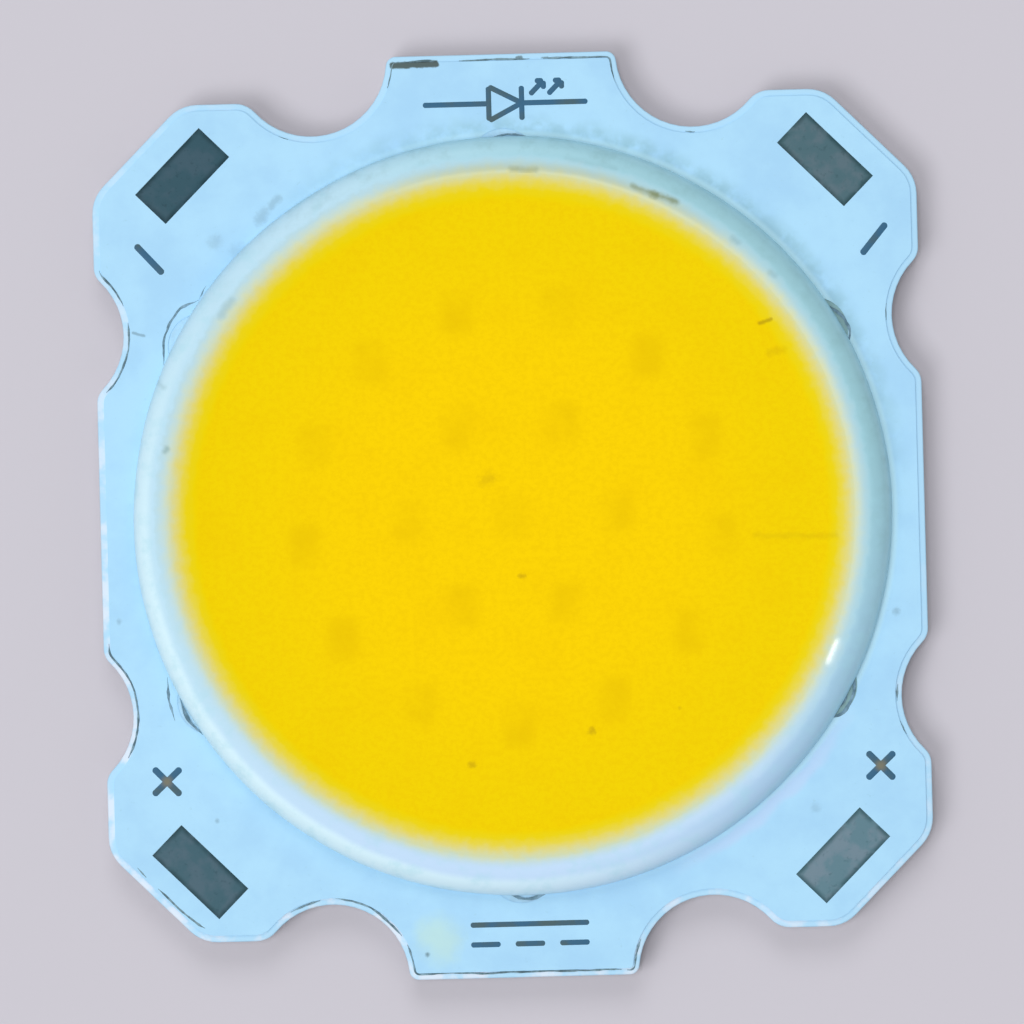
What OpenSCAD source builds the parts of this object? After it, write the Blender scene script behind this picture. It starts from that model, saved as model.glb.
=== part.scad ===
// Chip-on-board LED: a notched aluminium plate with a printed circuit bonded to it, a ring of
// bare chips in series, and a silicone dam that holds the phosphor fill.
// Millimetres. The origin is at the middle of the plate's underside. +Z points out through the
// light field, and +Y points to the tab between the two negative pads.

/* [Plate] */
// Length from the end of one tab to the end of the other
plate_length = 28; // [27.6:0.1:28.6]
// Width across the two flat sides
plate_width = 25; // [24.8:0.1:25.6]
// Length across the corner lobes
lobe_length = 25.4; // [25:0.1:26]
// How much of a lobe's length, and of its width, a corner chamfer takes off
chamfer_leg = 2.75; // [2.4:0.05:3]
// Thickness of the aluminium
plate_thickness = 1; // [0.8:0.1:1.6]
// Rounding at each end of a chamfer
chamfer_rounding = 1.2; // [0.8:0.1:1.6]

/* [Screw notches] */
// Distance between the middles of the two notches beside a lobe
notch_spacing = 11.56; // [11.3:0.02:11.8]
// How far the middle of a notch beside a tab lies outside the ends of the lobes
tab_notch_offset = 1.25; // [1:0.05:1.5]
// How far the middle of a notch beside a flat side lies outside that side
side_notch_offset = 1.45; // [1.2:0.05:1.6]
// Radius of a notch
notch_radius = 2.3; // [2:0.05:2.5]
// Rounding between a notch and the end of a lobe
lobe_rounding = 0.8; // [0.5:0.1:1]
// Rounding between a notch and a side of the plate
side_rounding = 0.6; // [0.4:0.1:0.8]
// Rounding between a notch and the end of a tab
tab_rounding = 0.3; // [0.25:0.05:0.5]

/* [Circuit] */
// Thickness of the bonding sheet under the circuit film
bond_thickness = 0.05; // [0.03:0.01:0.1]
// Thickness of the circuit film
film_thickness = 0.1; // [0.08:0.01:0.2]
// Thickness of the copper
copper_thickness = 0.035; // [0.018:0.001:0.07]
// Thickness of the solder mask over the copper
mask_thickness = 0.03; // [0.02:0.005:0.05]
// How far the mask stays back from the edge of the plate
mask_setback = 0.2; // [0.1:0.01:0.24]
// Bare film between its opening and the copper
film_margin = 0.1; // [0.05:0.01:0.2]
// Bare copper inside the dam, where the string's end wires land
landing_width = 0.4; // [0.3:0.05:0.6]
// How far the copper shows past the dam, under the mask
copper_margin = 0.5; // [0.3:0.05:0.6]
// Gap between the positive and the negative copper
copper_gap = 3; // [1:0.1:4]
// Mask-free width under the inside of the dam
mask_opening_margin = 0.5; // [0.2:0.05:0.8]

/* [Mask windows] */
// Radius of the round windows around the dam
window_radius = 1; // [0.7:0.05:1.2]
// How far a window shows past the dam
window_peek = 0.25; // [0.1:0.05:0.45]

/* [Solder pads] */
// Length of a pad, along its chamfer
pad_length = 2.8; // [2.2:0.1:3.2]
// Width of a pad
pad_width = 1.28; // [1:0.02:1.5]
// Distance from a chamfer to its pad
pad_setback = 0.88; // [0.7:0.02:1.1]
// How far a pad sits from the middle of its chamfer, towards the tab
pad_shift = 0.43; // [0:0.01:0.6]
// Copper around a pad, under the mask
pad_collar = 0.2; // [0.1:0.05:0.3]
// Thickness of the tin on a pad
tin_thickness = 0.045; // [0.03:0.005:0.08]

/* [Dam and fill] */
// Distance from the dam's foot to the flat sides of the plate
dam_margin = 1; // [0.9:0.05:1.2]
// Width of the dam at its foot
dam_width = 1.7; // [1.5:0.05:1.8]
// Height of the dam above the mask
dam_height = 0.75; // [0.6:0.05:0.8]
// How far the edge of the fill lies below the crest
fill_drop = 0.05; // [0.02:0.01:0.15]
// How far the middle of the fill lies below its edge
fill_sag = 0.1; // [0.03:0.01:0.15]
// Width of the fill's rising edge
meniscus_width = 1.6; // [1:0.1:2.4]

/* [Chips] */
// Width of a chip
chip_width = 0.76; // [0.5:0.02:1]
// Length of a chip, along Y
chip_length = 1.14; // [0.8:0.02:1.4]
// Height of a chip
chip_height = 0.15; // [0.1:0.01:0.2]
// Radius of the outer ring of chips
outer_ring_radius = 6.35; // [6:0.05:6.8]
// Radius of the inner ring of chips
inner_ring_radius = 3.15; // [2.9:0.05:3.4]
// Thickness of the attach adhesive
attach_thickness = 0.02; // [0.01:0.005:0.04]
// Width of the adhesive that shows around a chip
attach_margin = 0.04; // [0.02:0.01:0.08]
// Diameter of a chip's bond pads
bond_pad_diameter = 0.11; // [0.1:0.005:0.15]
// Height of a chip's bond pads
bond_pad_height = 0.005; // [0.003:0.001:0.01]
// Distance from a chip's short edge to the middle of its bond pad
bond_pad_inset = 0.2; // [0.12:0.01:0.3]

/* [Bond wires] */
// Diameter of the wire
wire_diameter = 0.03; // [0.02:0.002:0.036]
// Rise of a wire's loop above its ends
loop_rise = 0.2; // [0.12:0.01:0.3]
// Diameter of the foot that is bonded down
foot_diameter = 0.09; // [0.06:0.005:0.1]
// Height of the foot
foot_height = 0.02; // [0.019:0.001:0.03]

/* [Hidden] */
$fn = 96;

// Sides of a bond wire's section
wire_sides = 12;

// Places that the chips can take: a ring's radius, its number of places and the angle of its first
CENTRE = [0, 1, 0];
OUTER = [outer_ring_radius, 13, -90];
INNER = [inner_ring_radius, 6, 0];

// The series string from the positive to the negative copper: each chip's ring and its place on it
string = [
    [OUTER, 0], [OUTER, 12], [OUTER, 11], [OUTER, 10], [OUTER, 9], [OUTER, 8], [OUTER, 7],
    [INNER, 2], [INNER, 3], [INNER, 4], [CENTRE, 0], [INNER, 5],
    [OUTER, 1], [OUTER, 2], [OUTER, 3], [INNER, 0], [INNER, 1],
    [OUTER, 4], [OUTER, 5], [OUTER, 6]
];
last_chip = len(string) - 1;
last_wire = len(string);

// Heights of the layers, from the bottom
film_z = plate_thickness + bond_thickness;
copper_z = film_z + film_thickness;
copper_top = copper_z + copper_thickness;
mask_top = copper_top + mask_thickness;
dam_top = mask_top + dam_height;
chip_z = plate_thickness + attach_thickness;
chip_top = chip_z + chip_height;
bond_pad_top = chip_top + bond_pad_height;

// Radii of the dam's foot and crest, and those that follow them
dam_outside = plate_width / 2 - dam_margin;
dam_radius = dam_outside - dam_width / 2;
dam_inside = dam_outside - dam_width;
copper_inside = dam_inside - landing_width;
copper_outside = dam_outside + copper_margin;
film_opening = copper_inside - film_margin;
mask_opening = dam_inside + mask_opening_margin;
landing_radius = dam_inside - landing_width / 2;
window_circle = dam_outside + window_peek - window_radius;
window_count = 6;
first_window_angle = 30;

// The dam's section is an arc through both feet and the crest
dam_arc = (pow(dam_width / 2, 2) + pow(dam_height, 2)) / (2 * dam_height);

// The fill is flat in its middle and climbs the dam's inner flank on a shallow arc, a little
// flatter than one that would leave the middle without a corner
fill_edge_radius = dam_radius - sqrt(pow(dam_arc, 2) - pow(dam_arc - fill_drop, 2));
meniscus_end = [fill_edge_radius, dam_top - fill_drop];
meniscus_start = meniscus_end - [meniscus_width, fill_sag];
meniscus_chord = norm([meniscus_width, fill_sag]);
meniscus_arc = 1.25 * pow(meniscus_chord, 2) / (2 * fill_sag);
meniscus_middle = (meniscus_start + meniscus_end) / 2
    + [-fill_sag, meniscus_width] / meniscus_chord * sqrt(pow(meniscus_arc, 2) - pow(meniscus_chord / 2, 2));

// The chamfers' distance from the middle of the plate, and how far the middle of a chamfer lies
// from the diagonal, towards the tab
chamfer_distance = (lobe_length + plate_width - 2 * chamfer_leg) / 2 / sqrt(2);
chamfer_offset = (lobe_length - plate_width) / 2 / sqrt(2);

// The pads lie along the chamfers
pad_distance = chamfer_distance - pad_setback - pad_width / 2;
pad_offset = chamfer_offset + pad_shift;

function chip_name(i) = str("led_chip_", i < 9 ? "0" : "", i + 1);
function wire_name(i) = str("bond_wire_", i < 9 ? "0" : "", i + 1);

// Middle of a chip on the plate
function chip_angle(i) = string[i][0][2] + 360 * string[i][1] / string[i][0][1];
function chip_place(i) = string[i][0][0] * [cos(chip_angle(i)), sin(chip_angle(i))];

// Where the string's end wires land on the copper, straight out from the chip
function landing(i) = concat(landing_radius * [cos(chip_angle(i)), sin(chip_angle(i))], copper_top);

// A chip's two bond pads: the string runs through the chip in the direction that it is heading
function before_y(i) = i == 0 ? -landing_radius : chip_place(i - 1).y;
function after_y(i) = i == last_chip ? landing_radius : chip_place(i + 1).y;
function heading(i) = after_y(i) >= before_y(i) ? 1 : -1;
function bond_pad(i, way) =
    concat(chip_place(i) + [0, way * heading(i) * (chip_length / 2 - bond_pad_inset)], bond_pad_top);

// Both ends of each wire
function wire_start(i) = i == 0 ? landing(0) : bond_pad(i - 1, 1);
function wire_end(i) = i == last_wire ? landing(last_chip) : bond_pad(i, -1);

// The two notches beside a lobe, the first at the tab and the second at the flat side
tab_notch_y = lobe_length / 2 + tab_notch_offset;
side_notch_x = plate_width / 2 + side_notch_offset;
notch_step = notch_spacing / sqrt(2);
notch_places = [[side_notch_x - notch_step, tab_notch_y], [side_notch_x, tab_notch_y - notch_step]];

// Middle of a rounding that touches a notch and the inside of a straight edge
function beside(notch, radius, edge, way) =
    notch + [way * sqrt(pow(notch_radius + radius, 2) - pow(edge - radius - notch.y, 2)), edge - radius - notch.y];
function turned(point) = [point.y, point.x];

// Middles of the roundings of one quarter, from the tab to the flat side
chamfer_sum = (chamfer_distance - chamfer_rounding) * sqrt(2);
tab_middle = beside(notch_places[0], tab_rounding, plate_length / 2, -1);
lobe_end_middle = beside(notch_places[0], lobe_rounding, lobe_length / 2, 1);
lobe_side_middle = turned(beside(turned(notch_places[1]), side_rounding, plate_width / 2, 1));
flat_side_middle = turned(beside(turned(notch_places[1]), side_rounding, plate_width / 2, -1));
chamfer_end_y = lobe_length / 2 - chamfer_rounding;
chamfer_end_middle = [chamfer_sum - chamfer_end_y, chamfer_end_y];
chamfer_side_x = plate_width / 2 - chamfer_rounding;
chamfer_side_middle = [chamfer_side_x, chamfer_sum - chamfer_side_x];

// Points of a rounding, from one direction to another
arc_step = 10;
function arc_points(middle, radius, start, stop) =
    let (steps = ceil(abs(stop - start) / arc_step))
    [for (k = [0:steps]) middle + radius * direction(start + (stop - start) * k / steps)];
function direction(angle) = [cos(angle), sin(angle)];
function angle_to(from, to) = atan2(to.y - from.y, to.x - from.x);

// The last stretch of a rounding runs on a little way into its notch, which then cuts it clean
function into_notch(points) =
    let (last = len(points) - 1, stretch = points[last] - points[last - 1])
    [for (k = [0:last]) k < last ? points[k] : points[k] + notch_radius * sin(arc_step / 2) * stretch / norm(stretch)];
function out_of_notch(points) = reversed(into_notch(reversed(points)));
function reversed(list) = [for (i = [len(list) - 1:-1:0]) list[i]];
function mirrored(points, x, y) = [for (p = points) [x * p.x, y * p.y]];

// One quarter of the outline from the tab to the flat side, drawn in by a setback
function quarter(setback) = concat(
    into_notch(arc_points(tab_middle, tab_rounding - setback, 90, angle_to(tab_middle, notch_places[0]))),
    [notch_places[0]],
    out_of_notch(arc_points(lobe_end_middle, lobe_rounding - setback, angle_to(lobe_end_middle, notch_places[0]), 90)),
    arc_points(chamfer_end_middle, chamfer_rounding - setback, 90, 45),
    arc_points(chamfer_side_middle, chamfer_rounding - setback, 45, 0),
    into_notch(arc_points(lobe_side_middle, side_rounding - setback, 0, angle_to(lobe_side_middle, notch_places[1]))),
    [notch_places[1]],
    out_of_notch(arc_points(flat_side_middle, side_rounding - setback, angle_to(flat_side_middle, notch_places[1]), 0))
);

// Outline of the plate with its notches
module plate_outline(setback = 0) {
    right_half = concat(quarter(setback), reversed(mirrored(quarter(setback), 1, -1)));
    difference() {
        polygon(concat(reversed(right_half), mirrored(right_half, -1, 1)));
        for (x = [-1, 1], y = [-1, 1], place = notch_places)
            translate([x * place.x, y * place.y])
                circle(notch_radius + setback);
    }
}

// A pad's place: side is -1 for left and 1 for right, end is -1 for positive and 1 for negative
module at_pad(side, end) {
    mirror([side < 0 ? 1 : 0, 0, 0])
        mirror([0, end < 0 ? 1 : 0, 0])
            rotate([0, 0, -45])
                translate([-pad_offset, pad_distance, 0])
                    children();
}

module copper(end) {
    arm_end = pad_width / 2 + pad_collar;
    arm_length = pad_distance - dam_radius + arm_end;
    arm_width = pad_length + 2 * pad_collar;
    color("peru")
        translate([0, 0, copper_z])
            union() {
                linear_extrude(copper_thickness)
                    difference() {
                        circle(copper_outside);
                        circle(copper_inside);
                        translate([-plate_length / 2, end < 0 ? -copper_gap / 2 : copper_gap / 2 - plate_length])
                            square(plate_length);
                    }
                for (side = [-1, 1])
                    at_pad(side, end)
                        translate([-arm_width / 2, arm_end - arm_length, 0])
                            cube([arm_width, arm_length, copper_thickness]);
            }
}

module circuit_layer(z, thickness) {
    translate([0, 0, z])
        linear_extrude(thickness)
            difference() {
                plate_outline();
                circle(film_opening);
            }
}

module base_plate() {
    color("silver")
        linear_extrude(plate_thickness)
            plate_outline();
}

module bonding_sheet() {
    color("khaki")
        circuit_layer(plate_thickness, bond_thickness);
}

module circuit_film() {
    color("gray")
        circuit_layer(film_z, film_thickness);
}

module solder_mask() {
    color("lightblue")
        difference() {
            translate([0, 0, copper_z])
                linear_extrude(mask_top - copper_z)
                    difference() {
                        plate_outline(mask_setback);
                        circle(mask_opening);
                        for (i = [0:window_count - 1])
                            rotate(first_window_angle + 360 * i / window_count)
                                translate([window_circle, 0])
                                    circle(window_radius);
                        for (side = [-1, 1], end = [-1, 1])
                            at_pad(side, end)
                                square([pad_length, pad_width], center = true);
                    }
            copper(-1);
            copper(1);
        }
}

module solder_pad(side, end) {
    color("slategray")
        at_pad(side, end)
            translate([-pad_length / 2, -pad_width / 2, copper_top])
                cube([pad_length, pad_width, tin_thickness]);
}

module dam_section() {
    intersection() {
        translate([dam_radius, dam_top - dam_arc])
            circle(dam_arc);
        translate([dam_inside, mask_top])
            square([dam_width, dam_height]);
    }
    translate([dam_inside, copper_z])
        square([dam_width, mask_top - copper_z]);
}

// The silicone runs down to the film inside the mask's edge and through its windows
module silicone_dam() {
    color("aliceblue")
        difference() {
            rotate_extrude()
                dam_section();
            solder_mask();
            copper(-1);
            copper(1);
        }
}

module fill_section() {
    difference() {
        translate([0, plate_thickness])
            square([fill_edge_radius, meniscus_end.y - plate_thickness]);
        translate([0, meniscus_start.y])
            square([meniscus_start.x, dam_height]);
        intersection() {
            translate(meniscus_middle)
                circle(meniscus_arc, $fn = 240);
            translate(meniscus_start)
                square([2 * meniscus_width, dam_height]);
        }
        translate([film_opening, 0])
            square([dam_width, copper_z]);
        dam_section();
    }
}

module phosphor_fill() {
    color("gold")
        difference() {
            rotate_extrude()
                fill_section();
            copper(-1);
            copper(1);
            chip_adhesive();
            for (i = [0:last_chip])
                led_chip(i);
            for (i = [0:last_wire])
                bond_wire(i);
        }
}

module chip_block(i, z, margin, height) {
    translate(concat(chip_place(i) - [chip_width / 2 + margin, chip_length / 2 + margin], z))
        cube([chip_width + 2 * margin, chip_length + 2 * margin, height]);
}

module chip_adhesive() {
    color("white")
        for (i = [0:last_chip])
            chip_block(i, plate_thickness, attach_margin, attach_thickness);
}

module led_chip(i) {
    color("royalblue")
        union() {
            chip_block(i, chip_z, 0, chip_height);
            for (way = [-1, 1])
                translate(bond_pad(i, way) - [0, 0, bond_pad_height])
                    cylinder(h = bond_pad_height, d = bond_pad_diameter, $fn = 24);
        }
}

// A flat arc between two feet
module bond_wire(i) {
    start = wire_start(i);
    span = wire_end(i) - start;
    reach = norm(span);
    arc = (pow(reach / 2, 2) + pow(loop_rise, 2)) / (2 * loop_rise);
    half_turn = asin(reach / 2 / arc);
    color("goldenrod")
        union() {
            translate(start + [0, 0, foot_height])
                rotate([0, -asin(span.z / reach), atan2(span.y, span.x)])
                    translate([reach / 2, 0, loop_rise - arc])
                        rotate([90, 0, 0])
                            rotate([0, 0, 90 - half_turn])
                                rotate_extrude(angle = 2 * half_turn, $fn = 360)
                                    translate([arc, 0])
                                        circle(d = wire_diameter, $fn = wire_sides);
            for (end = [start, start + span])
                translate(end)
                    cylinder(h = foot_height, d = foot_diameter, $fn = 24);
        }
}

base_plate();
bonding_sheet();
circuit_film();
copper(-1);  // positive_copper
copper(1);  // negative_copper
solder_mask();
solder_pad(-1, -1);  // pad_positive_left
solder_pad(1, -1);  // pad_positive_right
solder_pad(-1, 1);  // pad_negative_left
solder_pad(1, 1);  // pad_negative_right
silicone_dam();
phosphor_fill();
chip_adhesive();
for (i = [0:last_chip])
    led_chip(i);
for (i = [0:last_wire])
    bond_wire(i);
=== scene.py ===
import math

import bmesh
import bpy
from mathutils import Matrix, Vector, noise


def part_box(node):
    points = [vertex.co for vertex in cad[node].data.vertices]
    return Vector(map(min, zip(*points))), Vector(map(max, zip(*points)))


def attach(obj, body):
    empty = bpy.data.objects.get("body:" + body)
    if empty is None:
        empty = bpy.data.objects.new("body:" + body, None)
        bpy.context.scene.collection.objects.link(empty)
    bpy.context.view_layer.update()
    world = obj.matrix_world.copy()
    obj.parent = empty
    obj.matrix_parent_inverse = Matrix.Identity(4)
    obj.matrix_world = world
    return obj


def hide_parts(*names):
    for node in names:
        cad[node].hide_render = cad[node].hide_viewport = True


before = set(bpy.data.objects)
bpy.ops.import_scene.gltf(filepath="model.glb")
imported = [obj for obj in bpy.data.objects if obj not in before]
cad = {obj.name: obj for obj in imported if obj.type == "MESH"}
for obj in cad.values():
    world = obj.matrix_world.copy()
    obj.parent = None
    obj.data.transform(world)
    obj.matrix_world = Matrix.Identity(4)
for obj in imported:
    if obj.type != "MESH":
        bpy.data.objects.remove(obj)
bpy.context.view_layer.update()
mm = 0.001
weld = 0.0005  # corners nearer than this, in mm, are joined in a copy of a CAD mesh
sameLevel = 0.002  # heights nearer than this, in mm, are the same


def level(node, top=True):  # height of a CAD node's top or underside, in mm
    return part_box(node)[1 if top else 0][2] / mm


def middle(node):  # middle of a CAD node's box, in mm
    low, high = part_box(node)
    return Vector([(a + b) / 2 / mm for a, b in zip(low, high)])


def around(angle, radius, height=0.0):  # a point on a circle about the light field's axis
    turn = math.radians(angle)
    return Vector((radius * math.cos(turn), radius * math.sin(turn), height))


board = {  # heights and radii, in mm
    "maskTop": level("solder_mask"),
    "filmTop": level("circuit_film"),
    "plateTop": level("base_plate"),
    "damFoot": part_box("silicone_dam")[1][0] / mm,
    "damTop": level("silicone_dam"),
    "damWidth": 1.7,  # the bead's, which a box doesn't tell
    "fillEdge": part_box("phosphor_fill")[1][0] / mm,
    "fillTop": level("phosphor_fill"),
}
board["damCrest"] = board["damFoot"] - board["damWidth"] / 2
board["damInside"] = board["damFoot"] - board["damWidth"]

# node helpers


def colour(red, green, blue):  # screen values to the linear ones that a socket takes
    def linear(value):
        value /= 255
        return value / 12.92 if value <= 0.04045 else ((value + 0.055) / 1.055) ** 2.4
    return (linear(red), linear(green), linear(blue), 1.0)


def feed(tree, socket, value):
    if isinstance(value, bpy.types.NodeSocket):
        tree.links.new(value, socket)
    else:
        socket.default_value = value


def calc(tree, operation, first, second=0.0, clamp=False):
    node = tree.nodes.new("ShaderNodeMath")
    node.operation = operation
    node.use_clamp = clamp
    feed(tree, node.inputs[0], first)
    feed(tree, node.inputs[1], second)
    return node.outputs[0]


def times(tree, first, second):
    return calc(tree, "MULTIPLY", first, second)


def vector(tree, operation, first, second=None, scale=None, result=0):
    node = tree.nodes.new("ShaderNodeVectorMath")
    node.operation = operation
    feed(tree, node.inputs[0], first)
    if second is not None:
        feed(tree, node.inputs[1], second)
    if scale is not None:
        feed(tree, node.inputs["Scale"], scale)
    return node.outputs[result]


def ramp(tree, value, low, high, start=0.0, end=1.0):
    node = tree.nodes.new("ShaderNodeMapRange")
    node.interpolation_type = "SMOOTHSTEP"
    for socket, number in zip(node.inputs, (value, low, high, start, end)):
        feed(tree, socket, number)
    return node.outputs[0]


def band(tree, value, rise, fall):  # 1 between the two slopes and 0 outside them
    return times(tree, ramp(tree, value, *rise), ramp(tree, value, *fall, 1.0, 0.0))


def blend(tree, factor, first, second, mode="MIX"):
    node = tree.nodes.new("ShaderNodeMix")
    node.data_type = "RGBA"
    node.blend_type = mode
    feed(tree, node.inputs[0], factor)
    feed(tree, node.inputs[6], first)
    feed(tree, node.inputs[7], second)
    return node.outputs[2]


def tinted(tree, body, mask, strength, tint):  # the tint laid over the body where the mask is
    return blend(tree, times(tree, mask, strength), body, tint)


def grainOf(tree, place, scale, detail=2.0, roughness=0.5):
    node = tree.nodes.new("ShaderNodeTexNoise")
    feed(tree, node.inputs["Vector"], place)
    feed(tree, node.inputs["Scale"], scale)
    feed(tree, node.inputs["Detail"], detail)
    feed(tree, node.inputs["Roughness"], roughness)
    return node.outputs["Fac"]


def bumpOf(tree, height, strength, distance):
    node = tree.nodes.new("ShaderNodeBump")
    node.inputs["Strength"].default_value = strength
    node.inputs["Distance"].default_value = distance * mm
    feed(tree, node.inputs["Height"], height)
    return node.outputs["Normal"]


def newMaterial(name, roughness=0.5, metallic=0.0, specular=0.5):
    material = bpy.data.materials.new(name)
    material.use_nodes = True
    shader = material.node_tree.nodes["Principled BSDF"]
    shader.inputs["Roughness"].default_value = roughness
    shader.inputs["Metallic"].default_value = metallic
    shader.inputs["Specular IOR Level"].default_value = specular
    return material, material.node_tree, shader


def boardPlace(tree):  # the point's place on the board, in mm
    coordinates = tree.nodes.new("ShaderNodeTexCoord")
    return vector(tree, "SCALE", coordinates.outputs["Object"], scale=1 / mm)


# effects that several materials share


def newGroup(name, inputs, outputs):
    group = bpy.data.node_groups.new(name, "ShaderNodeTree")
    for label, kind, value in inputs:
        socket = group.interface.new_socket(label, in_out="INPUT", socket_type=kind)
        if value is not None:
            socket.default_value = value
    for label in outputs:
        group.interface.new_socket(label, in_out="OUTPUT", socket_type="NodeSocketFloat")
    return group, group.nodes.new("NodeGroupInput"), group.nodes.new("NodeGroupOutput")


def groupNode(tree, group, **values):
    node = tree.nodes.new("ShaderNodeGroup")
    node.node_tree = group
    for name, value in values.items():
        feed(tree, node.inputs[name], value)
    return node


def makeStrokeMark():  # a soft, ragged mark along a straight line on the board
    group, given, result = newGroup("stroke mark", [
        ("Place", "NodeSocketVector", None),
        ("Start", "NodeSocketVector", None),
        ("End", "NodeSocketVector", None),
        ("Width", "NodeSocketFloat", 0.2),
        ("Softness", "NodeSocketFloat", 0.05),
        ("Raggedness", "NodeSocketFloat", 0.0),
        ("Grain", "NodeSocketFloat", 6.0)], ["Mask"])
    flat = vector(group, "MULTIPLY", given.outputs["Place"], (1, 1, 0))
    along = vector(group, "SUBTRACT", given.outputs["End"], given.outputs["Start"])
    away = vector(group, "SUBTRACT", flat, given.outputs["Start"])
    reach = calc(group, "MAXIMUM", vector(group, "DOT_PRODUCT", along, along, result=1), 1e-6)
    share = vector(group, "DOT_PRODUCT", away, along, result=1)
    share = calc(group, "DIVIDE", share, reach, clamp=True)
    foot = vector(group, "SCALE", along, scale=share)
    distance = vector(group, "LENGTH", vector(group, "SUBTRACT", away, foot), result=1)
    grain = grainOf(group, given.outputs["Place"], given.outputs["Grain"], 3.0, 0.6)
    wobble = times(group, calc(group, "SUBTRACT", grain, 0.5), given.outputs["Raggedness"])
    distance = calc(group, "ADD", distance, wobble)
    half = times(group, given.outputs["Width"], 0.5)
    inner = calc(group, "SUBTRACT", half, given.outputs["Softness"])
    outer = calc(group, "ADD", half, given.outputs["Softness"])
    group.links.new(ramp(group, distance, inner, outer, 1.0, 0.0), result.inputs["Mask"])
    return group


def makeFieldRadius():  # distance from the light field's axis, with the wobble of a poured edge
    group, given, result = newGroup("field radius", [
        ("Place", "NodeSocketVector", None),
        ("Wobble", "NodeSocketFloat", 0.1),
        ("Grain", "NodeSocketFloat", 1.0)], ["Radius"])
    flat = vector(group, "MULTIPLY", given.outputs["Place"], (1, 1, 0))
    radius = vector(group, "LENGTH", flat, result=1)
    wobble = calc(group, "SUBTRACT", grainOf(group, flat, given.outputs["Grain"], 2.0), 0.5)
    wobble = times(group, wobble, given.outputs["Wobble"])
    group.links.new(calc(group, "ADD", radius, wobble), result.inputs["Radius"])
    return group


def makeFieldEdge():  # the yellow thins out as the phosphor climbs the dam, so both share one fade
    group, given, result = newGroup("field edge", [
        ("Place", "NodeSocketVector", None),
        ("Wobble", "NodeSocketFloat", 0.1),
        ("Grain", "NodeSocketFloat", 1.0)], ["Clear"])
    group.interface.new_socket("Tint", in_out="OUTPUT", socket_type="NodeSocketColor")
    shifted = vector(group, "SUBTRACT", given.outputs["Place"], edgeLook["pourCentre"])
    inside = groupNode(group, fieldRadius, Place=shifted, Wobble=given.outputs["Wobble"],
                       Grain=given.outputs["Grain"])
    stops = edgeLook["stops"]
    start, end = stops[0][0], stops[-1][0]
    share = calc(group, "SUBTRACT", inside.outputs[0], start)
    share = calc(group, "DIVIDE", share, end - start, clamp=True)
    fade = group.nodes.new("ShaderNodeValToRGB")
    feed(group, fade.inputs[0], share)
    for radius, tint in stops[1:-1]:
        fade.color_ramp.elements.new((radius - start) / (end - start)).color = tint
    fade.color_ramp.elements[0].color = stops[0][1]
    fade.color_ramp.elements[-1].color = stops[-1][1]
    group.links.new(fade.outputs[0], result.inputs["Tint"])
    group.links.new(ramp(group, inside.outputs[0], stops[-2][0], end), result.inputs["Clear"])
    return group


edgeLook = {
    # distance from the axis in mm, and the colour there
    "stops": [
        (9.6, colour(241, 214, 2)), (9.82, colour(238, 214, 24)), (10.02, colour(233, 216, 78)),
        (10.19, colour(226, 217, 130)), (10.36, colour(214, 220, 174)),
        (10.53, colour(198, 219, 206)), (10.72, colour(183, 217, 228)),
        (10.92, colour(184, 224, 244))],
    "wobble": {"Wobble": 0.28, "Grain": 3.2},
    "pourCentre": (-0.02, 0.05, 0),  # the phosphor was poured a little off centre
}
strokeMark = makeStrokeMark()
fieldRadius = makeFieldRadius()
fieldEdge = makeFieldEdge()


def markAt(tree, place, start, end, width, softness=0.05, raggedness=0.0, grain=6.0):
    node = groupNode(tree, strokeMark, Place=place, Start=(*start, 0), End=(*end, 0), Width=width,
                     Softness=softness, Raggedness=raggedness, Grain=grain)
    return node.outputs["Mask"]


def radiusAt(tree, place, wobble=0.0, grain=1.0):
    node = groupNode(tree, fieldRadius, Place=place, Wobble=wobble, Grain=grain)
    return node.outputs["Radius"]


def edgeAt(tree, place):
    node = groupNode(tree, fieldEdge, Place=place, **edgeLook["wobble"])
    return node.outputs["Tint"], node.outputs["Clear"]


def facing(tree, place, angle, spread=0.2):  # 1 on the side that lies at this angle, 0 opposite
    flat = vector(tree, "NORMALIZE", vector(tree, "MULTIPLY", place, (1, 1, 0)))
    likeness = vector(tree, "DOT_PRODUCT", flat, tuple(around(angle, 1)), result=1)
    return ramp(tree, likeness, -spread, 1.0)


def zoneAt(tree, place, radius, rise, side):  # out from a radius, on one side of the field
    return times(tree, ramp(tree, radius, *rise), facing(tree, place, *side))


print("shared effects ready")

# making pieces


def finishPiece(name, bm, material, replaced=(), sharpAngle=35, flatLevels=False):
    bmesh.ops.remove_doubles(bm, verts=bm.verts, dist=1e-6 * mm)  # closes the end caps of strokes
    bmesh.ops.recalc_face_normals(bm, faces=bm.faces)
    for face in bm.faces:  # a level face beside a rounding shows smears unless it is shaded flat
        face.smooth = not (flatLevels and abs(face.normal.z) > 0.9999)
    mesh = bpy.data.meshes.new(name)
    bm.to_mesh(mesh)
    bm.free()
    mesh.set_sharp_from_angle(angle=math.radians(sharpAngle))
    mesh.materials.append(material)
    piece = bpy.data.objects.new(name, mesh)
    bpy.context.scene.collection.objects.link(piece)
    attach(piece, "root")
    if replaced:
        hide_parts(*replaced)


def mergedCopy(node):  # a CAD node's mesh with its loose triangles joined
    bm = bmesh.new()
    bm.from_mesh(cad[node].data)
    bmesh.ops.remove_doubles(bm, verts=bm.verts, dist=weld * mm)
    bmesh.ops.dissolve_limit(bm, angle_limit=math.radians(0.5), verts=bm.verts, edges=bm.edges)
    return bm


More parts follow.
